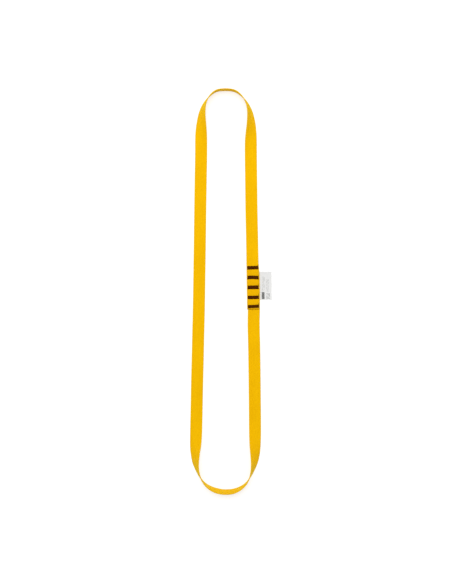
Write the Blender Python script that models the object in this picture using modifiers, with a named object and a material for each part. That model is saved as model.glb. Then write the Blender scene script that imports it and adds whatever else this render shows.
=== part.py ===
# Sewn sling: one endless loop of flat webbing. The two ends of the tape are lapped on one leg
# and held by a row of bar tacks, and a small fabric label is caught under the lap.
# The sling lies on a table: +Y along the loop, +X towards the lapped leg, +Z up. Metres.

import math

import bmesh
import bpy
from mathutils import Matrix, Vector

OBJECT_NAME = "webbing_sling"
MM = 0.001

# Webbing
TAPE_WIDTH = 0.0175
TAPE_THICKNESS = 0.0014
TAPE_EDGE_ROUNDS = 1            # bevel resolution of the rounded selvedge
BEND_STEP = 0.005               # longest facet where the tape turns or twists
LEG_STEP = 0.024                # longest facet along the flat legs
FLAT = 90.0                     # lean of a flat leg, from standing on edge

# Lap seam, from the table upwards
GAP = 0.0003                    # clearance between touching pieces
PAD_THICKNESS = 0.0004          # a bar tack's pad of thread, on each face
LABEL_THICKNESS = 0.0003
LABEL_LIFT = PAD_THICKNESS + GAP
REAR_LIFT = LABEL_LIFT + LABEL_THICKNESS + GAP
FRONT_LIFT = REAR_LIFT + TAPE_THICKNESS + GAP
SEAM_TOP = FRONT_LIFT + TAPE_THICKNESS
NEEDLE_PAD_LIFT = SEAM_TOP + GAP
SEAM_MIDDLE = (REAR_LIFT + TAPE_THICKNESS + FRONT_LIFT) / 2

# The origin is under the middle of the whole sling, label included.
LOOP_CENTRE = Vector((-0.00754, -0.00006, 0.0))

# The tape's centre line, in millimetres from the middle of the loop, as x, y, lean in degrees
# from standing on edge (its upper edge leans into the loop), and lift of its lowest edge.
REAR_MM = REAR_LIFT / MM
FRONT_MM = FRONT_LIFT / MM
ROUTE = (
    (39.2, 39.6, FLAT, REAR_MM), (40.4, 22.0, FLAT, REAR_MM), (40.8, 2.0, FLAT, REAR_MM),
    (40.9, -27.0, FLAT, REAR_MM), (40.6, -44.0, FLAT, 0.0), (41.4, -82.0, FLAT, 0.0),
    (42.1, -140.0, FLAT, 0.0), (42.5, -185.0, FLAT, 0.0), (42.6, -204.0, 83.0, 0.0),
    (42.6, -221.0, 69.0, 0.0), (42.5, -234.0, 53.0, 0.0), (41.5, -246.0, 36.0, 0.0),
    (39.0, -257.5, 19.0, 0.0), (35.3, -267.8, 7.0, 0.0), (28.4, -278.4, -2.0, 0.0),
    (18.6, -285.4, -10.0, 0.0), (9.8, -288.6, -14.5, 0.0), (2.5, -289.3, -15.5, 0.0),
    (-2.5, -289.3, -15.5, 0.0), (-10.8, -288.0, -15.5, 0.0), (-19.4, -285.0, -12.0, 0.0),
    (-28.8, -278.8, -4.0, 0.0), (-36.0, -269.5, 5.0, 0.0), (-40.7, -258.3, 16.0, 0.0),
    (-43.2, -247.0, 32.0, 0.0), (-43.8, -235.0, 48.0, 0.0), (-43.4, -222.0, 68.0, 0.0),
    (-42.9, -208.0, 82.0, 0.0), (-42.5, -192.0, FLAT, 0.0), (-41.7, -150.0, FLAT, 0.0),
    (-40.1, -80.0, FLAT, 0.0), (-38.6, -10.0, FLAT, 0.0), (-37.5, 66.0, FLAT, 0.0),
    (-36.2, 160.0, FLAT, 0.0), (-35.5, 205.0, FLAT, 0.0), (-35.5, 222.0, 82.0, 0.0),
    (-35.4, 234.0, 66.0, 0.0), (-35.0, 244.0, 52.0, 0.0), (-34.4, 254.0, 38.0, 0.0),
    (-32.8, 263.5, 26.0, 0.0), (-29.7, 272.6, 14.0, 0.0), (-23.4, 282.1, 4.0, 0.0),
    (-13.8, 289.6, 0.0, 0.0), (-2.5, 291.4, -1.0, 0.0), (2.5, 291.4, -1.0, 0.0),
    (14.0, 289.3, 0.0, 0.0), (23.6, 282.0, 4.0, 0.0), (30.5, 272.5, 12.0, 0.0),
    (34.2, 263.0, 22.0, 0.0), (36.0, 253.0, 34.0, 0.0), (36.8, 242.5, 47.0, 0.0),
    (36.8, 231.0, 62.0, 0.0), (36.5, 218.0, 79.0, 0.0), (36.5, 200.0, FLAT, 0.0),
    (37.0, 160.0, FLAT, 0.0), (37.6, 110.0, FLAT, 0.0), (38.4, 72.0, FLAT, 0.0),
    (38.8, 46.0, FLAT, FRONT_MM), (39.0, 30.0, FLAT, FRONT_MM), (39.4, 4.0, FLAT, FRONT_MM),
    (39.9, -25.5, FLAT, FRONT_MM),
)

# Bar tacks, in millimetres from the middle of the loop: centre x, centre y, turn in degrees
BAR_PLACES = (
    (39.6, 34.6, 2.0), (39.4, 20.2, -1.0), (39.6, 6.1, 1.0), (39.8, -8.4, 1.0), (40.1, -21.4, 3.0),
)
BAR_LENGTH = 0.0154             # across the tape
BAR_WIDTH = 0.0042              # along the tape
STITCH_COLUMNS = 4
STITCH_ROWS = 2
STITCH_RADIUS = 0.0003
STITCH_SIDES = 6
STITCH_INSET = 0.0012           # from a bar's ends and sides to its outer stitches
STITCH_GAP = 0.0002             # between the two threads, where they lock
HOLE_RADIUS = STITCH_RADIUS + GAP

# Label, in metres from the middle of the loop
LABEL_LOW_Y = -0.0120
LABEL_HIGH_Y = 0.0290
LABEL_INNER_X = 0.0345          # the margin under the lap
LABEL_FOLD_X = 0.0503           # the fold, just clear of the tape's edge
LABEL_OUTER_X = 0.0667
FOLD_GAP = 0.0004
LABEL_CORNER = 0.0008

WEBBING_YELLOW = (0.93, 0.50, 0.004, 1.0)
THREAD_BROWN = (0.055, 0.018, 0.004, 1.0)
LABEL_WHITE = (0.83, 0.83, 0.81, 1.0)


def clear_scene():
    for item in list(bpy.data.objects):
        bpy.data.objects.remove(item, do_unlink=True)


def new_collection(name):
    made = bpy.data.collections.new(name)
    bpy.context.scene.collection.children.link(made)
    return made


def make_material(name, colour, roughness):
    material = bpy.data.materials.new(name)
    material.use_nodes = True
    shader = material.node_tree.nodes["Principled BSDF"]
    shader.inputs["Base Color"].default_value = colour
    shader.inputs["Roughness"].default_value = roughness
    shader.inputs["Metallic"].default_value = 0.0
    material.diffuse_color = colour
    return material


def add_object(name, mesh, collection, material=None):
    made = bpy.data.objects.new(name, mesh)
    collection.objects.link(made)
    if material:
        mesh.materials.clear()
        mesh.materials.append(material)
    return made


def boolean(target, cutter, operation):
    modifier = target.modifiers.new(operation.lower(), "BOOLEAN")
    modifier.operation = operation
    modifier.solver = "EXACT"
    modifier.object = cutter


def hide_cutter(cutter):
    cutter.hide_render = True
    cutter.display_type = "WIRE"


# The route as a smooth curve

def slopes(values, spans, monotone):
    # Finite differences; a monotone channel is held between its own points.
    steps = [(b - a) / span for a, b, span in zip(values, values[1:], spans)]
    result = [steps[0]]
    for before, after, span_a, span_b in zip(steps, steps[1:], spans, spans[1:]):
        if monotone and before * after <= 0:
            result.append(0.0)
        elif monotone:
            result.append(2 * before * after / (before + after))
        else:
            result.append((before * span_b + after * span_a) / (span_a + span_b))
    result.append(steps[-1])
    return result


def hermite(a, b, slope_a, slope_b, span, t):
    return ((2 * t**3 - 3 * t**2 + 1) * a + (t**3 - 2 * t**2 + t) * span * slope_a
            + (3 * t**2 - 2 * t**3) * b + (t**3 - t**2) * span * slope_b)


def smooth_route():
    spans = [math.dist(a[:2], b[:2]) for a, b in zip(ROUTE, ROUTE[1:])]
    channels = list(zip(*ROUTE))
    slope_sets = [slopes(values, spans, index > 1) for index, values in enumerate(channels)]
    points = [ROUTE[0]]
    for i, span in enumerate(spans):
        flat_here = ROUTE[i][2] == FLAT and ROUTE[i + 1][2] == FLAT
        level_here = ROUTE[i][3] == ROUTE[i + 1][3]
        step = LEG_STEP if flat_here and level_here else BEND_STEP
        pieces = max(1, math.ceil(span * MM / step - 0.1))
        for k in range(1, pieces + 1):
            points.append(tuple(
                hermite(values[i], values[i + 1], slope_set[i], slope_set[i + 1], span, k / pieces)
                for values, slope_set in zip(channels, slope_sets)))
    return points


def tape_height(lean, lift):
    # Height of the tape's centre above the table, from the lean and lift of its section
    half_flat = (TAPE_WIDTH - TAPE_THICKNESS) / 2
    return lift * MM + half_flat * abs(math.cos(math.radians(lean))) + TAPE_THICKNESS / 2


# Pieces

def stitch_places(bar):
    x, y, turn = bar
    centre = Vector((x, y, 0)) * MM + LOOP_CENTRE
    spin = Matrix.Rotation(math.radians(turn), 3, "Z")
    reach_x = BAR_LENGTH / 2 - STITCH_INSET
    reach_y = BAR_WIDTH / 2 - STITCH_INSET
    for column in range(STITCH_COLUMNS):
        for row in range(STITCH_ROWS):
            along = -reach_x + 2 * reach_x * column / (STITCH_COLUMNS - 1)
            aside = -reach_y + 2 * reach_y * row / (STITCH_ROWS - 1)
            yield centre + spin @ Vector((along, aside, 0))


def stitch_posts_mesh(name, bars, radius, low, high):
    mesh = bpy.data.meshes.new(name)
    shape = bmesh.new()
    for bar in bars:
        for place in stitch_places(bar):
            middle = Matrix.Translation((place.x, place.y, (low + high) / 2))
            bmesh.ops.create_cone(shape, cap_ends=True, segments=STITCH_SIDES, radius1=radius,
                                  radius2=radius, depth=high - low, matrix=middle)
    shape.to_mesh(mesh)
    shape.free()
    return mesh


def make_webbing(collection, cutters, material):
    curve = bpy.data.curves.new("tape_path", "CURVE")
    curve.dimensions = "3D"
    curve.twist_mode = "Z_UP"
    curve.extrude = (TAPE_WIDTH - TAPE_THICKNESS) / 2
    curve.bevel_depth = TAPE_THICKNESS / 2
    curve.bevel_resolution = TAPE_EDGE_ROUNDS
    curve.use_fill_caps = True
    route = smooth_route()
    spline = curve.splines.new("POLY")
    spline.points.add(len(route) - 1)
    for point, (x, y, lean, lift) in zip(spline.points, route):
        place = Vector((x * MM, y * MM, tape_height(lean, lift))) + LOOP_CENTRE
        point.co = (*place, 1.0)
        point.tilt = math.radians(lean)
    path = bpy.data.objects.new("tape_path", curve)
    collection.objects.link(path)
    bpy.context.view_layer.update()
    evaluated = path.evaluated_get(bpy.context.evaluated_depsgraph_get())
    mesh = bpy.data.meshes.new_from_object(evaluated)
    shape = bmesh.new()
    shape.from_mesh(mesh)
    bmesh.ops.remove_doubles(shape, verts=shape.verts, dist=0.00001)
    bmesh.ops.recalc_face_normals(shape, faces=shape.faces)
    shape.to_mesh(mesh)
    shape.free()
    tape = add_object("webbing_tape", mesh, collection, material)
    tape.matrix_world = path.matrix_world
    bpy.data.objects.remove(path, do_unlink=True)
    holes_mesh = stitch_posts_mesh("stitch_holes", BAR_PLACES, HOLE_RADIUS, -GAP,
                                     NEEDLE_PAD_LIFT + GAP)
    holes = add_object("stitch_holes", holes_mesh, cutters)
    hide_cutter(holes)
    boolean(tape, holes, "DIFFERENCE")
    mesh.shade_smooth()
    mesh.set_sharp_from_angle(angle=math.radians(40))
    return tape


def make_thread(name, bar, pad_lift, stitch_low, stitch_high, collection, cutters, material):
    x, y, turn = bar
    place = Vector((x * MM, y * MM, pad_lift + PAD_THICKNESS / 2)) + LOOP_CENTRE
    turned = Matrix.Translation(place) @ Matrix.Rotation(math.radians(turn), 4, "Z")
    sized = turned @ Matrix.Diagonal((BAR_LENGTH, BAR_WIDTH, PAD_THICKNESS, 1.0))
    mesh = bpy.data.meshes.new(name)
    shape = bmesh.new()
    bmesh.ops.create_cube(shape, size=1.0, matrix=sized)
    shape.to_mesh(mesh)
    shape.free()
    pad = add_object(name, mesh, collection, material)
    stitches_mesh = stitch_posts_mesh(name + "_stitches", [bar], STITCH_RADIUS,
                                        stitch_low, stitch_high)
    stitches = add_object(name + "_stitches", stitches_mesh, cutters)
    hide_cutter(stitches)
    boolean(pad, stitches, "UNION")
    return pad


def make_bar_tacks(collection, cutters, material):
    for number, bar in enumerate(BAR_PLACES, start=1):
        make_thread(f"needle_thread_{number}", bar, NEEDLE_PAD_LIFT, SEAM_MIDDLE + STITCH_GAP / 2,
                    NEEDLE_PAD_LIFT + PAD_THICKNESS / 2, collection, cutters, material)
        make_thread(f"bobbin_thread_{number}", bar, 0.0, PAD_THICKNESS / 2,
                    SEAM_MIDDLE - STITCH_GAP / 2, collection, cutters, material)


def make_label_leaf(name, low_x, high_x, collection, material):
    size = Vector((high_x - low_x, LABEL_HIGH_Y - LABEL_LOW_Y, LABEL_THICKNESS))
    middle = Vector(((low_x + high_x) / 2, (LABEL_LOW_Y + LABEL_HIGH_Y) / 2,
                     LABEL_LIFT + LABEL_THICKNESS / 2)) + LOOP_CENTRE
    mesh = bpy.data.meshes.new(name)
    shape = bmesh.new()
    bmesh.ops.create_cube(shape, size=1.0, matrix=Matrix.Diagonal((*size, 1.0)))
    shape.to_mesh(mesh)
    shape.free()
    leaf = add_object(name, mesh, collection, material)
    leaf.location = middle
    return leaf


def make_label(collection, cutters, material):
    sewn_end = make_label_leaf("label_sewn_end", LABEL_INNER_X, LABEL_FOLD_X - FOLD_GAP / 2,
                               collection, material)
    holes_mesh = stitch_posts_mesh("label_holes", BAR_PLACES[1:4], HOLE_RADIUS, 0.0, REAR_LIFT)
    holes = add_object("label_holes", holes_mesh, cutters)
    hide_cutter(holes)
    boolean(sewn_end, holes, "DIFFERENCE")
    fold = bpy.data.objects.new("label_fold", None)
    fold.location = Vector((LABEL_FOLD_X, (LABEL_LOW_Y + LABEL_HIGH_Y) / 2,
                            LABEL_LIFT + LABEL_THICKNESS / 2)) + LOOP_CENTRE
    collection.objects.link(fold)
    flap = make_label_leaf("label_flap", LABEL_FOLD_X + FOLD_GAP / 2, LABEL_OUTER_X,
                           collection, material)
    flap.location -= fold.location
    flap.parent = fold
    corners = flap.modifiers.new("corners", "BEVEL")
    corners.width = LABEL_CORNER
    corners.segments = 2
    corners.limit_method = "WEIGHT"
    round_outer_corners(flap.data)


def round_outer_corners(mesh):
    # Only the two upright edges on the free side are rounded.
    weights = mesh.attributes.new("bevel_weight_edge", "FLOAT", "EDGE")
    for edge in mesh.edges:
        a, b = (mesh.vertices[index].co for index in edge.vertices)
        upright = abs(a.z - b.z) > 0 and (a - b).xy.length == 0
        weights.data[edge.index].value = 1.0 if upright and a.x > 0 else 0.0


def main():
    clear_scene()
    collection = new_collection(OBJECT_NAME)
    cutters = new_collection("cutters")
    webbing = make_material("webbing", WEBBING_YELLOW, 0.62)
    thread = make_material("thread", THREAD_BROWN, 0.5)
    label = make_material("label", LABEL_WHITE, 0.55)
    make_webbing(collection, cutters, webbing)
    make_bar_tacks(collection, cutters, thread)
    make_label(collection, cutters, label)


main()
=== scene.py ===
import math
import random

import bpy
from mathutils import Matrix, Vector


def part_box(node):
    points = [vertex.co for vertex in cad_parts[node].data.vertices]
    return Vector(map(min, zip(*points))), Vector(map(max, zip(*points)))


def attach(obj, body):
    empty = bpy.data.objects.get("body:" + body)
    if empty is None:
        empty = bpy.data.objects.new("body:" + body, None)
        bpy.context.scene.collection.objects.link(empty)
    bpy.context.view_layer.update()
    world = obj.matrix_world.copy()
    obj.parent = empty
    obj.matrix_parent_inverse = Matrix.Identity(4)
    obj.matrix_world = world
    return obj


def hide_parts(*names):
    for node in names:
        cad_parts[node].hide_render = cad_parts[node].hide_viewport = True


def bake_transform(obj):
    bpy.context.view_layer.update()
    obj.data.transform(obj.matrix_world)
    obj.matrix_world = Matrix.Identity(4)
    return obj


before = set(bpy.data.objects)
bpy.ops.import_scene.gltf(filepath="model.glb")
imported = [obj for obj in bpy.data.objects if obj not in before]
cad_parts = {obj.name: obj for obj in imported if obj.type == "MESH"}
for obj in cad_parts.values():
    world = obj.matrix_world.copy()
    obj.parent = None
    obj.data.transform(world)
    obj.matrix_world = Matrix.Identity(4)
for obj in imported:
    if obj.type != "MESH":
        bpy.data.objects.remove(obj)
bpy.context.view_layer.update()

print("frame loaded:", len(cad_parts), "nodes")


# Small helpers

def deselectAll():
    if bpy.context.object and bpy.context.object.mode != "OBJECT":
        bpy.ops.object.mode_set(mode="OBJECT")
    bpy.ops.object.select_all(action="DESELECT")


def pick(piece):
    deselectAll()
    piece.select_set(True)
    bpy.context.view_layer.objects.active = piece


def closeAndFace(piece, distance=0.000001):
    # Merge the doubled rings, then turn every face outwards
    pick(piece)
    bpy.ops.object.mode_set(mode="EDIT")
    bpy.ops.mesh.select_all(action="SELECT")
    bpy.ops.mesh.remove_doubles(threshold=distance)
    bpy.ops.mesh.normals_make_consistent(inside=False)
    bpy.ops.object.mode_set(mode="OBJECT")


def newCurve(name, points, tilts=None):
    data = bpy.data.curves.new(name, "CURVE")
    data.dimensions = "3D"
    data.twist_mode = "Z_UP"
    data.use_fill_caps = True
    spline = data.splines.new("POLY")
    spline.points.add(len(points) - 1)
    for index, point in enumerate(points):
        spline.points[index].co = (*point, 1.0)
        if tilts:
            spline.points[index].tilt = tilts[index]
    made = bpy.data.objects.new(name, data)
    bpy.context.scene.collection.objects.link(made)
    return made


def runningLength(points):
    total = [0.0]
    for a, b in zip(points, points[1:]):
        total.append(total[-1] + (b - a).length)
    return total


# Camera, straight above the loop

camera = {"place": (-0.00703, -0.00064, 1.85), "lens": 78.65, "sensor": 36.0}
deselectAll()
bpy.ops.object.camera_add(location=camera["place"], rotation=(0.0, 0.0, 0.0))
viewCamera = bpy.context.object
viewCamera.name = "viewCamera"
viewCamera.data.lens = camera["lens"]
viewCamera.data.sensor_width = camera["sensor"]
bpy.context.scene.camera = viewCamera
print("camera placed")


# The tape: one length of flat webbing, its ends lapped on the right leg

tape = {
    "width": 0.0175,
    "thickness": 0.0014,
    "edge": 0.0007,             # radius of the selvedge
    "columns": 19,              # warp columns on each face
    "columnPoints": 3,
    "ribDepth": 0.000070,
    "edgeSteps": 6,
    "legStep": 0.0046,
    "bendStep": 0.0023,
    "rampStep": 0.0023 / 1.6,   # where the tape climbs onto the lap
    "lapStep": 0.00085,
    "rippleHeight": 0.00022,
    "rippleRoll": 0.9,          # degrees
    "pinch": 0.27,              # share of the lap's thickness a bar tack takes away
    "pinchReach": 0.0026,
    "pillow": 0.00026,          # how far the tape swells between two bars
    "pinchEdgeFade": 0.35,      # a tack holds less at the tape's two edges
    "neck": 0.00012,            # how far the selvedges draw in at a bar tack
    "meltReach": 0.0009,
    "meltThin": 0.38,           # share of the thickness lost at a heat-sealed end
}
flat = 90.0                     # lean of a leg that lies flat, from standing on edge
lapBase = 0.00062               # underside of the rear layer
layerGap = 0.00003
frontBase = lapBase + tape["thickness"] + layerGap
lapMiddle = lapBase + tape["thickness"] + layerGap / 2
loopCentre = Vector((-0.00754, -0.00006, 0.0))

# x and y from the middle of the loop, lean from standing on edge, lift of the lowest edge
route = (
    (0.0392, 0.0396, flat, lapBase), (0.0404, 0.0220, flat, lapBase),
    (0.0408, 0.0020, flat, lapBase), (0.0409, -0.0270, flat, lapBase),
    (0.0406, -0.0440, flat, 0.0), (0.0414, -0.0820, flat, 0.0), (0.0421, -0.1400, flat, 0.0),
    (0.0425, -0.1850, flat, 0.0), (0.0426, -0.2040, 83.0, 0.0), (0.0426, -0.2210, 69.0, 0.0),
    (0.0425, -0.2340, 53.0, 0.0), (0.0415, -0.2460, 36.0, 0.0), (0.0390, -0.2575, 19.0, 0.0),
    (0.0353, -0.2678, 7.0, 0.0), (0.0284, -0.2784, -2.0, 0.0), (0.0186, -0.2854, -10.0, 0.0),
    (0.0098, -0.2886, -14.5, 0.0), (0.0025, -0.2893, -15.5, 0.0), (-0.0025, -0.2893, -15.5, 0.0),
    (-0.0108, -0.2880, -15.5, 0.0), (-0.0194, -0.2850, -12.0, 0.0), (-0.0288, -0.2788, -4.0, 0.0),
    (-0.0360, -0.2695, 5.0, 0.0), (-0.0407, -0.2583, 16.0, 0.0), (-0.0432, -0.2470, 32.0, 0.0),
    (-0.0438, -0.2350, 48.0, 0.0), (-0.0434, -0.2220, 68.0, 0.0), (-0.0429, -0.2080, 82.0, 0.0),
    (-0.0425, -0.1920, flat, 0.0), (-0.0417, -0.1500, flat, 0.0), (-0.0401, -0.0800, flat, 0.0),
    (-0.0386, -0.0100, flat, 0.0), (-0.0375, 0.0660, flat, 0.0), (-0.0362, 0.1600, flat, 0.0),
    (-0.0355, 0.2050, flat, 0.0), (-0.0355, 0.2220, 82.0, 0.0), (-0.0354, 0.2340, 66.0, 0.0),
    (-0.0350, 0.2440, 52.0, 0.0), (-0.0344, 0.2540, 38.0, 0.0), (-0.0328, 0.2635, 26.0, 0.0),
    (-0.0297, 0.2726, 14.0, 0.0), (-0.0234, 0.2821, 4.0, 0.0), (-0.0138, 0.2896, 0.0, 0.0),
    (-0.0025, 0.2914, -1.0, 0.0), (0.0025, 0.2914, -1.0, 0.0), (0.0140, 0.2893, 0.0, 0.0),
    (0.0236, 0.2820, 4.0, 0.0), (0.0305, 0.2725, 12.0, 0.0), (0.0342, 0.2630, 22.0, 0.0),
    (0.0360, 0.2530, 34.0, 0.0), (0.0368, 0.2425, 47.0, 0.0), (0.0368, 0.2310, 62.0, 0.0),
    (0.0365, 0.2180, 79.0, 0.0), (0.0365, 0.2000, flat, 0.0), (0.0370, 0.1600, flat, 0.0),
    (0.0376, 0.1100, flat, 0.0), (0.0384, 0.0720, flat, 0.0), (0.0388, 0.0460, flat, frontBase),
    (0.0390, 0.0300, flat, frontBase), (0.0394, 0.0040, flat, frontBase),
    (0.0399, -0.0255, flat, frontBase),
)
barTurns = (2.0, -1.0, 1.0, 1.0, 3.0)       # degrees, first bar at the top
barBows = (0.0, 0.00035, 0.0001, 0.0, -0.0001)


def barCentre(number):
    low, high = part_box(f"needle_thread_{number}")
    return (low + high) / 2


barCentres = [barCentre(number) for number in range(1, 6)]


def channelSlopes(values, spans, monotone):
    steps = [(b - a) / span for a, b, span in zip(values, values[1:], spans)]
    found = [steps[0]]
    for before, after, spanA, spanB in zip(steps, steps[1:], spans, spans[1:]):
        if not monotone:
            found.append((before * spanB + after * spanA) / (spanA + spanB))
        elif before * after <= 0:
            found.append(0.0)
        else:
            found.append(2 * before * after / (before + after))
    found.append(steps[-1])
    return found


def hermite(a, b, slopeA, slopeB, span, t):
    return ((2 * t**3 - 3 * t**2 + 1) * a + (t**3 - 2 * t**2 + t) * span * slopeA
            + (3 * t**2 - 2 * t**3) * b + (t**3 - t**2) * span * slopeB)


def stepLength(here, there):
    leanHere, liftHere = here[2:]
    leanThere, liftThere = there[2:]
    if min(liftHere, liftThere) > 0:
        return tape["lapStep"]
    if max(liftHere, liftThere) > 0 and leanHere == flat:
        return tape["rampStep"]
    return tape["legStep"] if leanHere == leanThere == flat else tape["bendStep"]


def smoothRoute():
    spans = [math.dist(a[:2], b[:2]) for a, b in zip(route, route[1:])]
    channels = list(zip(*route))
    slopeSets = [channelSlopes(values, spans, index > 1) for index, values in enumerate(channels)]
    found = [route[0]]
    for i, span in enumerate(spans):
        count = max(1, math.ceil(span / stepLength(route[i], route[i + 1]) - 0.1))
        for k in range(1, count + 1):
            found.append(tuple(
                hermite(values[i], values[i + 1], slopeSet[i], slopeSet[i + 1], span, k / count)
                for values, slopeSet in zip(channels, slopeSets)))
    return found


def ripple(along):
    # A slow uneven wave, from 0 to 1
    wave = math.sin(along * 71.0 + 0.6) + 0.6 * math.sin(along * 118.0 + 2.1)
    return 0.5 + wave / 3.2


def tapePath():
    samples = smoothRoute()
    halfFlat = (tape["width"] - tape["thickness"]) / 2
    points, tilts, travelled, last = [], [], 0.0, None
    for x, y, lean, lift in samples:
        if last:
            travelled += math.dist(last, (x, y))
        last = (x, y)
        # The wave lives on the flat legs and dies out before a bend or the lap
        quiet = max(0.0, min(1.0, (lean - 70.0) / 20.0)) * max(0.0, 1.0 - lift / (lapBase / 2))
        quiet *= max(0.0, min(1.0, (abs(abs(y) - 0.01) - 0.05) / 0.03))
        height = lift + halfFlat * abs(math.cos(math.radians(lean))) + tape["thickness"] / 2
        height += tape["rippleHeight"] * quiet * ripple(travelled)
        roll = tape["rippleRoll"] * quiet * math.sin(travelled * 47.0 + 1.0)
        height += math.sin(math.radians(abs(roll))) * halfFlat
        points.append(Vector((x, y, height)) + loopCentre)
        tilts.append(math.radians(lean + roll))
    return points, tilts


def tapeSection():
    # One closed ribbed outline: through the thickness, across the width, and weave columns round
    halfFlat = tape["width"] / 2 - tape["edge"]
    pitch = 2 * halfFlat / tape["columns"]
    outline = []
    for side in (1, -1):
        for k in range(tape["columns"] * tape["columnPoints"]):
            share = k / tape["columnPoints"]
            dip = tape["ribDepth"] if k % tape["columnPoints"] == 0 else 0.0
            outline.append((side * (tape["thickness"] / 2 - dip), side * (share * pitch - halfFlat),
                            share))
        for k in range(tape["edgeSteps"]):
            angle = math.pi * k / tape["edgeSteps"]
            reach = tape["edge"] - (tape["ribDepth"] if k == 0 else 0.0)
            outline.append((side * math.cos(angle) * reach,
                            side * (halfFlat + math.sin(angle) * tape["edge"]),
                            tape["columns"] + 2 * k / tape["edgeSteps"]))
    perSide = tape["columns"] + 2
    half = len(outline) // 2
    rounds = [item[2] + (perSide if index >= half else 0) for index, item in enumerate(outline)]
    return [(a, b) for a, b, c in outline], rounds, pitch


tapePoints, tapeTilts = tapePath()
tapeRuns = runningLength(tapePoints)
tapeLength = tapeRuns[-1]
section, sectionRounds, columnPitch = tapeSection()
roundColumns = 2 * (tape["columns"] + 2)
lapHalfWidth = 0.0088


def pinchAt(x, y):
    # How strongly the nearest bar tack holds the lap at this place
    strongest = 0.0
    for centre, turn in zip(barCentres, barTurns):
        lean = math.tan(math.radians(turn)) * (x - centre.x)
        away = (y - centre.y - lean) / tape["pinchReach"]
        toEdge = min(1.0, (abs(x - centre.x) / lapHalfWidth) ** 6)
        edgeFade = 1.0 - tape["pinchEdgeFade"] * toEdge
        strongest = max(strongest, math.exp(-away * away) * edgeFade)
    return strongest


def swellAt(y):
    ys = [centre.y for centre in barCentres]
    for upper, lower in zip(ys, ys[1:]):
        if lower < y < upper:
            return math.sin(math.pi * (y - lower) / (upper - lower)) ** 2
    return 0.0


def inLap(point):
    return point.x > 0 and min(c.y for c in barCentres) - 0.008 < point.y < 0.046


def pressLap(point, swell=True):
    # The stack closes towards the plane between its two layers
    hold = 1.0 - tape["pinch"] * pinchAt(point.x, point.y)
    point.z = lapMiddle + (point.z - lapMiddle) * hold
    if swell and point.z > lapMiddle:
        point.z += tape["pillow"] * swellAt(point.y) * (point.z - lapMiddle) / tape["thickness"]
    return point


def buildTape():
    outline = bpy.data.curves.new("tapeSection", "CURVE")
    outline.dimensions = "2D"
    spline = outline.splines.new("POLY")
    spline.points.add(len(section) - 1)
    for point, (through, across) in zip(spline.points, section):
        point.co = (through, across, 0.0, 1.0)
    spline.use_cyclic_u = True
    outlineObject = bpy.data.objects.new("tapeSection", outline)
    bpy.context.scene.collection.objects.link(outlineObject)
    made = newCurve("webbing", tapePoints, tapeTilts)
    made.data.bevel_mode = "OBJECT"
    made.data.bevel_object = outlineObject
    pick(made)
    bpy.ops.object.convert(target="MESH")
    made = bpy.context.object
    bpy.data.objects.remove(outlineObject, do_unlink=True)
    shapeTape(made)
    closeAndFace(made)
    bpy.ops.object.shade_smooth()
    return made


def ringOf(index):
    # The two caps come first in the mesh: far end, near end, then the rings in order
    count = len(section)
    if index < count:
        return len(tapePoints) - 1, index
    if index < 2 * count:
        return 0, index - count
    return divmod(index - 2 * count, count)


def shapeTape(piece):
    mesh = piece.data
    count = len(section)
    uv = mesh.uv_layers[0]
    uv.name = "weave"
    for polygon in mesh.polygons:
        rings = [ringOf(index) for index in polygon.vertices]
        wraps = {0, count - 1} == {place for ring, place in rings}
        for loop, (ring, place) in zip(polygon.loop_indices, rings):
            turn = roundColumns if wraps and place == 0 else sectionRounds[place]
            uv.data[loop].uv = (tapeRuns[ring], turn * columnPitch)
    for vertex in mesh.vertices:
        ring, place = ringOf(vertex.index)
        middle = tapePoints[ring]
        fromEnd = min(tapeRuns[ring], tapeLength - tapeRuns[ring])
        if fromEnd < tape["meltReach"]:
            # Sealed, rounded end
            keep = 1 - tape["meltThin"] + tape["meltThin"] * math.sqrt(fromEnd / tape["meltReach"])
            vertex.co.z = middle.z + (vertex.co.z - middle.z) * keep
        if inLap(middle):
            squeeze = tape["neck"] * pinchAt(middle.x, middle.y) / (tape["width"] / 2)
            vertex.co.x -= (vertex.co.x - middle.x) * squeeze
            vertex.co = pressLap(vertex.co.copy())


webbing = buildTape()
print("webbing:", len(webbing.data.polygons), "faces,", round(tapeLength, 4), "m")
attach(webbing, "sling")
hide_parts("webbing_tape")


# Bar tacks: one continuous zigzag thread above each bar and one below

tapeTop = frontBase + tape["thickness"]
labelThickness = 0.00022
labelBase = lapBase - layerGap - labelThickness
labelTacks = (2, 3, 4)          # the bar tacks that catch the label

tack = {
    "length": 0.0160,
    "widths": (0.0056, 0.0057, 0.0059, 0.0055, 0.0050),
    "underInset": 0.0006,        # the lower thread stops short of the upper one's ends
    "shifts": (-0.0004, 0.0002, 0.0002, 0.0002, 0.0001),
    "stitches": 60,
    "thread": 0.00046,
    "dive": 0.00045,
    "crown": 0.00026,
    "pile": 0.00013,
    "jitter": 0.00009,
    "bury": 0.32,                # share of the thread that a stitch's ends stand above the tape
    "tailRise": (0.75, 0.50),    # in thread widths, where a tail starts and ends
    "tailDrift": (0.0003, 0.0005, 0.0002),  # set back, slant and sway of a tail
    "tails": (0.0014, 0.0012, 0.0016, 0.0025, 0.0022),
}
dice = random.Random(11)


def stackUnder(number):
    return labelBase if number in labelTacks else lapBase


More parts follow.
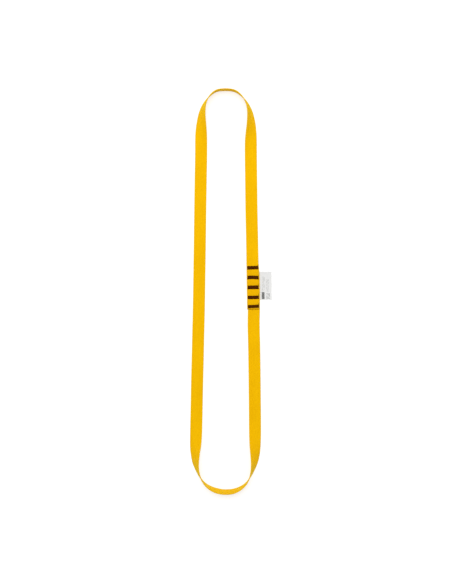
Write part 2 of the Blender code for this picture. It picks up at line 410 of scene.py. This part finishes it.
def stitchPath(number, above):
    centre, turn, bow = barCentres[number - 1], barTurns[number - 1], barBows[number - 1]
    centre = centre + Vector((tack["shifts"][number - 1], 0.0, 0.0))
    spin = Matrix.Rotation(math.radians(turn), 3, "Z")
    side = 1 if above else -1
    length = tack["length"] - (0.0 if above else 2 * tack["underInset"])
    pitch = length / tack["stitches"]
    halfWidth = tack["widths"][number - 1] / 2
    outer = tapeTop if above else stackUnder(number)
    found = []

    def add(x, y, height, swell=False):
        bent = y + bow * (1 - (2 * x / tack["length"]) ** 2)
        place = spin @ Vector((x, bent, 0.0)) + Vector((centre.x, centre.y, 0.0))
        place.z = outer
        pressLap(place, swell)
        place.z += side * height
        found.append(place)

    def wobble():
        return dice.uniform(-1, 1) * tack["jitter"]

    x, y = -length / 2, -halfWidth
    for stitch in range(tack["stitches"]):
        nextX, nextY = x + pitch, -math.copysign(halfWidth, y) + wobble()
        rise = wobble() * 0.5 + tack["pile"] * (stitch % 2)
        add(x, y, -tack["dive"])
        for share in (0.08, 0.28, 0.5, 0.72, 0.92):
            arch = 1 - (2 * share - 1) ** 2
            add(x + (nextX - x) * share, y + (nextY - y) * share,
                tack["thread"] * tack["bury"] + tack["crown"] * arch + rise * arch)
        x, y = nextX, nextY
    add(x, y, -tack["dive"])
    if above:
        reach = tack["tails"][number - 1]
        setBack, slant, sway = tack["tailDrift"]
        riseStart, riseEnd = tack["tailRise"]
        for share in (0.0, 0.3, 0.6, 0.85, 1.0):
            add(x - setBack - slant * share + sway * math.sin(4 * share + number),
                halfWidth * (0.75 + 0.25 * share) + reach * share,
                tack["thread"] * (riseStart + (riseEnd - riseStart) * share), swell=True)
    return found


def buildThread(name, points):
    made = newCurve(name, points)
    made.data.twist_mode = "MINIMUM"
    made.data.bevel_depth = tack["thread"] / 2
    made.data.bevel_resolution = 1
    pick(made)
    bpy.ops.object.convert(target="MESH")
    made = bpy.context.object
    runs = runningLength(points)
    uv = made.data.uv_layers[0]
    uv.name = "ply"
    for item in uv.data:
        item.uv.x *= runs[-1]           # along the thread, in metres
    closeAndFace(made)
    bpy.ops.object.shade_smooth()
    return made


threads = []
for number in range(1, 6):
    for above, word, node in ((True, "needle", "needle_thread"), (False, "bobbin", "bobbin_thread")):
        thread = buildThread(f"tack_{word}_{number}", stitchPath(number, above))
        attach(thread, "sling")
        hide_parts(f"{node}_{number}")
        threads.append(thread)
print("bar tacks:", len(threads), "threads,", len(threads[0].data.polygons), "faces each")


# Label: one piece of satin tape, held under the lap, its free part over the table

label = {"cells": (48, 41), "curl": 0.0011, "sag": 0.00024, "tilt": 0.0009}


def labelHeight(x, y, foldX, outerX, lowY, highY):
    height = labelBase
    if x > foldX:
        out = (x - foldX) / (outerX - foldX)
        along = (y - lowY) / (highY - lowY)
        height -= label["sag"] * math.sin(math.pi * min(1.0, out * 1.6))
        height += label["curl"] * out ** 2.2 * (1 - along) ** 1.5       # lower corner stands up a little
        height += label["tilt"] * math.sin(math.pi * min(1.0, out * 1.1)) * along ** 3 * 0.5
    return height


def buildLabel():
    sewnLow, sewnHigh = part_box("label_sewn_end")
    flapLow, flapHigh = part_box("label_flap")
    size = (flapHigh.x - sewnLow.x, flapHigh.y - flapLow.y)
    middle = ((flapHigh.x + sewnLow.x) / 2, (flapHigh.y + flapLow.y) / 2, 0.0)
    deselectAll()
    bpy.ops.mesh.primitive_grid_add(x_subdivisions=label["cells"][0], y_subdivisions=label["cells"][1],
                                    size=1.0, location=middle)
    made = bpy.context.object
    made.name = "label"
    made.scale = (size[0], size[1], 1.0)
    bpy.ops.object.transform_apply(location=True, rotation=True, scale=True)
    mesh = made.data
    uv = mesh.uv_layers[0]
    uv.name = "print"
    for item, loop in zip(uv.data, mesh.loops):
        place = mesh.vertices[loop.vertex_index].co
        item.uv = (place.x - flapLow.x, place.y - flapLow.y)
    for vertex in mesh.vertices:
        place = vertex.co
        place.z = labelHeight(place.x, place.y, flapLow.x, flapHigh.x, flapLow.y, flapHigh.y)
        if place.x < sewnHigh.x and inLap(place):
            vertex.co = pressLap(place.copy(), swell=False)
    pick(made)
    wall = made.modifiers.new("cloth", "SOLIDIFY")
    wall.thickness = labelThickness
    wall.offset = 1.0
    bpy.ops.object.modifier_apply(modifier="cloth")
    bpy.ops.object.shade_smooth_by_angle(angle=math.radians(50))
    return made, size, flapLow


labelSheet, labelSize, flapCorner = buildLabel()
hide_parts("label_sewn_end", "label_flap")
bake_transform(labelSheet)
print("label:", len(labelSheet.data.polygons), "faces")


# Materials

class Nodes:
    # Short hands for building a node tree

    def __init__(self, name):
        self.material = bpy.data.materials.new(name)
        self.material.use_nodes = True
        self.tree = self.material.node_tree
        self.shader = self.tree.nodes["Principled BSDF"]

    def node(self, kind, **settings):
        made = self.tree.nodes.new(kind)
        for key, value in settings.items():
            setattr(made, key, value)
        return made

    def feed(self, value, socket):
        if isinstance(value, bpy.types.NodeSocket):
            self.tree.links.new(value, socket)
        else:
            socket.default_value = value

    def math(self, operation, a, b=0.0, c=0.0):
        made = self.node("ShaderNodeMath", operation=operation)
        for value, socket in zip((a, b, c), made.inputs):
            self.feed(value, socket)
        return made.outputs[0]

    def mix(self, share, a, b):
        made = self.node("ShaderNodeMix", data_type="RGBA")
        self.feed(share, made.inputs["Factor"])
        self.feed(a, made.inputs[6])
        self.feed(b, made.inputs[7])
        return made.outputs[2]

    def uv(self, name):
        source = self.node("ShaderNodeUVMap", uv_map=name)
        split = self.node("ShaderNodeSeparateXYZ")
        self.tree.links.new(source.outputs[0], split.inputs[0])
        return split.outputs[0], split.outputs[1]

    def join(self, x, y, z=0.0):
        made = self.node("ShaderNodeCombineXYZ")
        for value, socket in zip((x, y, z), made.inputs):
            self.feed(value, socket)
        return made.outputs[0]

    def noise(self, vector, scale, detail=2.0):
        made = self.node("ShaderNodeTexNoise")
        self.feed(vector, made.inputs["Vector"])
        made.inputs["Scale"].default_value = scale
        made.inputs["Detail"].default_value = detail
        return made.outputs[0]

    def chance(self, vector):
        made = self.node("ShaderNodeTexWhiteNoise", noise_dimensions="3D")
        self.feed(vector, made.inputs["Vector"])
        return made.outputs["Value"]

    def spread(self, value, low, high, outLow, outHigh):
        made = self.node("ShaderNodeMapRange")
        for item, socket in zip((value, low, high, outLow, outHigh), made.inputs):
            self.feed(item, socket)
        return made.outputs[0]

    def bump(self, height, distance, strength=1.0, under=None):
        made = self.node("ShaderNodeBump")
        made.inputs["Strength"].default_value = strength
        made.inputs["Distance"].default_value = distance
        self.feed(height, made.inputs["Height"])
        if under:
            self.feed(under, made.inputs["Normal"])
        return made.outputs[0]


def webbingMaterial():
    look = {
        # crest and valley: the weave's hollows get the valley colour as painted shade
        "crest": (0.830, 0.472, 0.0012, 1.0),
        "valley": (0.600, 0.282, 0.0008, 1.0),
        "melt": (0.300, 0.115, 0.004, 1.0),
        "selvedge": (0.690, 0.425, 0.003, 1.0),
        "selvedgeShare": 0.60,
        "selvedgeReach": (0.75, 1.5),       # columns in from the edge
        "grain": 0.0016,                    # length of one float of yarn
        "slant": 0.30,
        "fibres": (420.0, 9000.0),          # per metre, along and across
        "drift": (22.0, 60.0),
        "grainShade": 0.78,
        "floatTone": 0.14,
        "driftTone": 0.34,
        "columnTone": 0.07,
        "darker": 0.095,
        "lapShade": (0.062, 0.056, 0.26),      # painted shade between the bar tacks; from the front end: start, full, share
        "melted": (0.0002, 0.0011),
        "rough": (0.78, 0.56),
        "meltGloss": 0.28,
        "fibreBump": (0.00003, 0.5),
        "grainBump": (0.00012, 0.8),
    }
    n = Nodes("wovenPolyester")
    u, v = n.uv("weave")
    column = n.math("DIVIDE", v, columnPitch)
    index = n.math("FLOOR", column)
    across = n.math("SUBTRACT", n.math("FRACT", column), 0.5)
    parity = n.math("MODULO", index, 2.0)
    hand = n.math("SUBTRACT", n.math("MULTIPLY", parity, 2.0), 1.0)
    run = n.math("DIVIDE", u, look["grain"])
    run = n.math("ADD", run, n.math("MULTIPLY", parity, 0.5))
    run = n.math("ADD", run, n.math("MULTIPLY", n.math("MULTIPLY", across, hand), look["slant"]))
    along = n.math("SUBTRACT", n.math("FRACT", run), 0.5)
    columnCrown = n.math("COSINE", n.math("MULTIPLY", across, math.pi))
    floatCrown = n.math("POWER", n.math("COSINE", n.math("MULTIPLY", along, math.pi)), 0.45)
    grain = n.math("MULTIPLY", columnCrown, floatCrown)
    fibre = n.noise(n.join(n.math("MULTIPLY", u, look["fibres"][0]),
                           n.math("MULTIPLY", v, look["fibres"][1])), 1.0, 3.0)
    tone = n.chance(n.join(index, n.math("FLOOR", run), 3.0))
    drift = n.noise(n.join(n.math("MULTIPLY", u, look["drift"][0]),
                           n.math("MULTIPLY", v, look["drift"][1])), 1.0, 2.0)
    yarn = n.chance(n.join(index, 7.0, 2.0))
    lift = n.math("MULTIPLY_ADD", tone, look["floatTone"],
                  n.math("MULTIPLY", drift, look["driftTone"]))
    # Painted shade: darker colour in the weave's hollows between yarns; the float, drift and column
    # tones are random tone of the yarn
    share = n.math("MULTIPLY", n.math("POWER", grain, 0.6), look["grainShade"])
    share = n.math("SUBTRACT", n.math("ADD", share, lift), look["darker"])
    share = n.math("MULTIPLY_ADD", yarn, look["columnTone"], share)
    share = n.math("MINIMUM", share, 1.0)
    colour = n.mix(share, look["valley"], look["crest"])
    perFace = tape["columns"] + 2
    place = n.math("MODULO", column, float(perFace))
    fromEdge = n.math("ABSOLUTE", n.math("SUBTRACT", place, tape["columns"] + 1.0))
    worn = n.spread(fromEdge, *look["selvedgeReach"], look["selvedgeShare"], 0.0)
    colour = n.mix(worn, colour, look["selvedge"])
    # Painted shade: the front layer is darkened towards the valley colour between the bars
    lapShadeFrom, lapShadeFull, lapShadeShare = look["lapShade"]
    lapShade = n.spread(u, tapeLength - lapShadeFrom, tapeLength - lapShadeFull, 0.0, lapShadeShare)
    colour = n.mix(lapShade, colour, look["valley"])
    fromEnd = n.math("MINIMUM", u, n.math("SUBTRACT", tapeLength, u))
    melted = n.spread(fromEnd, *look["melted"], 1.0, 0.0)
    n.feed(n.mix(melted, colour, look["melt"]), n.shader.inputs["Base Color"])
    rough = n.math("SUBTRACT", n.spread(grain, 0.0, 1.0, *look["rough"]),
                   n.math("MULTIPLY", melted, look["meltGloss"]))
    n.feed(rough, n.shader.inputs["Roughness"])
    fine = n.bump(fibre, *look["fibreBump"])
    n.feed(n.bump(grain, *look["grainBump"], fine), n.shader.inputs["Normal"])
    n.shader.inputs["Specular IOR Level"].default_value = 0.14
    n.shader.inputs["Specular Tint"].default_value = (1.0, 0.66, 0.04, 1.0)
    n.shader.inputs["Sheen Weight"].default_value = 0.75
    n.shader.inputs["Sheen Roughness"].default_value = 0.30
    n.shader.inputs["Sheen Tint"].default_value = (0.62, 0.86, 0.02, 1.0)
    return n.material


def threadMaterial():
    look = {
        "groove": (0.022, 0.0036, 0.0003, 1.0),
        "ply": (0.070, 0.0125, 0.0006, 1.0),
        "twist": 0.00085,                   # length of one turn of the plies
        "rough": (0.62, 0.42),
        "plyBump": (0.00004, 0.8),
    }
    n = Nodes("bondedThread")
    u, v = n.uv("ply")
    turn = n.math("ADD", n.math("DIVIDE", u, look["twist"]), v)
    ply = n.math("ABSOLUTE", n.math("SINE", n.math("MULTIPLY", turn, math.pi * 2)))
    fuzz = n.noise(n.join(n.math("MULTIPLY", u, 3000.0), n.math("MULTIPLY", v, 8.0)), 1.0, 2.0)
    # Painted shade: the grooves between the plies take the darker groove colour; the fuzz is random tone
    # of the thread
    share = n.math("MULTIPLY_ADD", ply, 0.7, n.math("MULTIPLY", fuzz, 0.3))
    n.feed(n.mix(share, look["groove"], look["ply"]), n.shader.inputs["Base Color"])
    n.feed(n.spread(ply, 0.0, 1.0, *look["rough"]), n.shader.inputs["Roughness"])
    n.feed(n.bump(ply, *look["plyBump"]), n.shader.inputs["Normal"])
    n.shader.inputs["Specular IOR Level"].default_value = 0.28
    n.shader.inputs["Specular Tint"].default_value = (1.0, 0.40, 0.06, 1.0)
    return n.material


def labelMaterial():
    look = {
        "cloth": (0.660, 0.660, 0.652, 1.0),
        "shade": (0.590, 0.590, 0.582, 1.0),
        "block": (0.040, 0.040, 0.037, 1.0),
        "faint": (0.36, 0.36, 0.355, 1.0),
        "mark": (0.14, 0.14, 0.138, 1.0),
        "faintInk": 0.85,
        "markInk": 0.9,
        "warp": 0.00022,
        "weft": 0.00030,
        "rough": (0.62, 0.40),
        "satinBump": (0.00003, 0.6),
    }
    # Area as left, right, bottom and top from the flap's corner; rule is the inked part of a pitch
    broken = {"rule": (0.25, 0.72), "skip": 0.34}
    prints = {
        "block": {"area": (0.0019, 0.0058, 0.0012, 0.0114), "pitch": 0.0016, "dash": 0.0012,
                  "seed": 6.0, "rule": (0.08, 0.94), "skip": 0.10},
        "fine": {"area": (0.0021, 0.0063, 0.0132, 0.0341), "pitch": 0.00105, "dash": 0.0011,
                 "seed": 1.0, **broken},
        "more": {"area": (0.0080, 0.0120, 0.0120, 0.0300), "pitch": 0.00100, "dash": 0.0010,
                 "seed": 5.0, **broken},
        "marks": {"area": (0.0085, 0.0136, 0.0016, 0.0096), "pitch": 0.0017, "dash": 0.0016,
                  "seed": 9.0, **broken},
    }
    n = Nodes("satinLabel")
    u, v = n.uv("print")
    warp = n.math("ABSOLUTE", n.math("SINE", n.math("MULTIPLY", u, math.pi / look["warp"])))
    weft = n.math("ABSOLUTE", n.math("SINE", n.math("MULTIPLY", v, math.pi / look["weft"])))
    satin = n.math("MULTIPLY_ADD", warp, 0.65, n.math("MULTIPLY", weft, 0.35))
    mottle = n.noise(n.join(u, v), 260.0, 3.0)
    cloth = n.mix(n.math("MULTIPLY_ADD", satin, 0.5, n.math("MULTIPLY", mottle, 0.5)),
                  look["shade"], look["cloth"])

    def inside(value, low, high):
        return n.math("MULTIPLY", n.math("GREATER_THAN", value, low),
                      n.math("LESS_THAN", value, high))

    def patch(lowU, highU, lowV, highV):
        return n.math("MULTIPLY", inside(u, lowU, highU), inside(v, lowV, highV))

    def dashes(kind):
        # Broken rules, too plain to read as anything
        rules = prints[kind]
        mask = patch(*rules["area"])
        row = n.math("DIVIDE", u, rules["pitch"])
        line = inside(n.math("FRACT", row), *rules["rule"])
        cell = n.math("FLOOR", n.math("DIVIDE", v, rules["dash"]))
        roll = n.chance(n.join(n.math("FLOOR", row), cell, rules["seed"]))
        kept = n.math("GREATER_THAN", roll, rules["skip"])
        return n.math("MULTIPLY", mask, n.math("MULTIPLY", line, kept))

    faint = n.math("ADD", dashes("fine"), dashes("more"))
    inked = n.mix(n.math("MULTIPLY", faint, look["faintInk"]), cloth, look["faint"])
    inked = n.mix(n.math("MULTIPLY", dashes("marks"), look["markInk"]), inked, look["mark"])
    n.feed(n.mix(dashes("block"), inked, look["block"]), n.shader.inputs["Base Color"])
    n.feed(n.spread(satin, 0.0, 1.0, *look["rough"]), n.shader.inputs["Roughness"])
    n.feed(n.bump(satin, *look["satinBump"]), n.shader.inputs["Normal"])
    n.shader.inputs["Sheen Weight"].default_value = 0.08
    return n.material


def dress(piece, material):
    piece.data.materials.clear()
    piece.data.materials.append(material)


dress(webbing, webbingMaterial())
threadLook = threadMaterial()
for thread in threads:
    dress(thread, threadLook)
dress(labelSheet, labelMaterial())
print("materials done")


# Floor and soft light

studio = {
    "floor": (0.42, 0.42, 0.42, 1.0),
    "floorSize": 60.0,
    "floorHeight": -0.0002,
    "glow": 0.64,                           # a light table
    "world": 0.60,
    "topLight": {"place": (-0.15, 0.85, 1.80), "size": 1.9, "power": 33.5},
    "fillLight": {"place": (0.8, -1.0, 1.7), "size": 1.4, "power": 1.8},
}

deselectAll()
bpy.ops.mesh.primitive_plane_add(size=studio["floorSize"],
                                 location=(0.0, 0.0, studio["floorHeight"]))
floor = bpy.context.object
floor.name = "floor"
paper = Nodes("paleFloor")
paper.shader.inputs["Base Color"].default_value = studio["floor"]
paper.shader.inputs["Roughness"].default_value = 0.9
paper.shader.inputs["Specular IOR Level"].default_value = 0.1
paper.shader.inputs["Emission Color"].default_value = (1.0, 1.0, 1.0, 1.0)
paper.shader.inputs["Emission Strength"].default_value = studio["glow"]
dress(floor, paper.material)


def addSoftLight(name, place, size, power):
    deselectAll()
    bpy.ops.object.light_add(type="AREA", location=place)
    made = bpy.context.object
    made.name = name
    made.data.shape = "DISK"
    made.data.size = size
    made.data.energy = power
    made.rotation_euler = (-Vector(place)).to_track_quat("-Z", "Y").to_euler()


for lightName in ("topLight", "fillLight"):
    addSoftLight(lightName, **studio[lightName])
world = bpy.data.worlds.new("studioWorld")
bpy.context.scene.world = world
world.use_nodes = True
world.node_tree.nodes["Background"].inputs["Color"].default_value = (1.0, 1.0, 1.0, 1.0)
world.node_tree.nodes["Background"].inputs["Strength"].default_value = studio["world"]
bpy.context.scene.view_settings.view_transform = "Standard"
print("studio done")
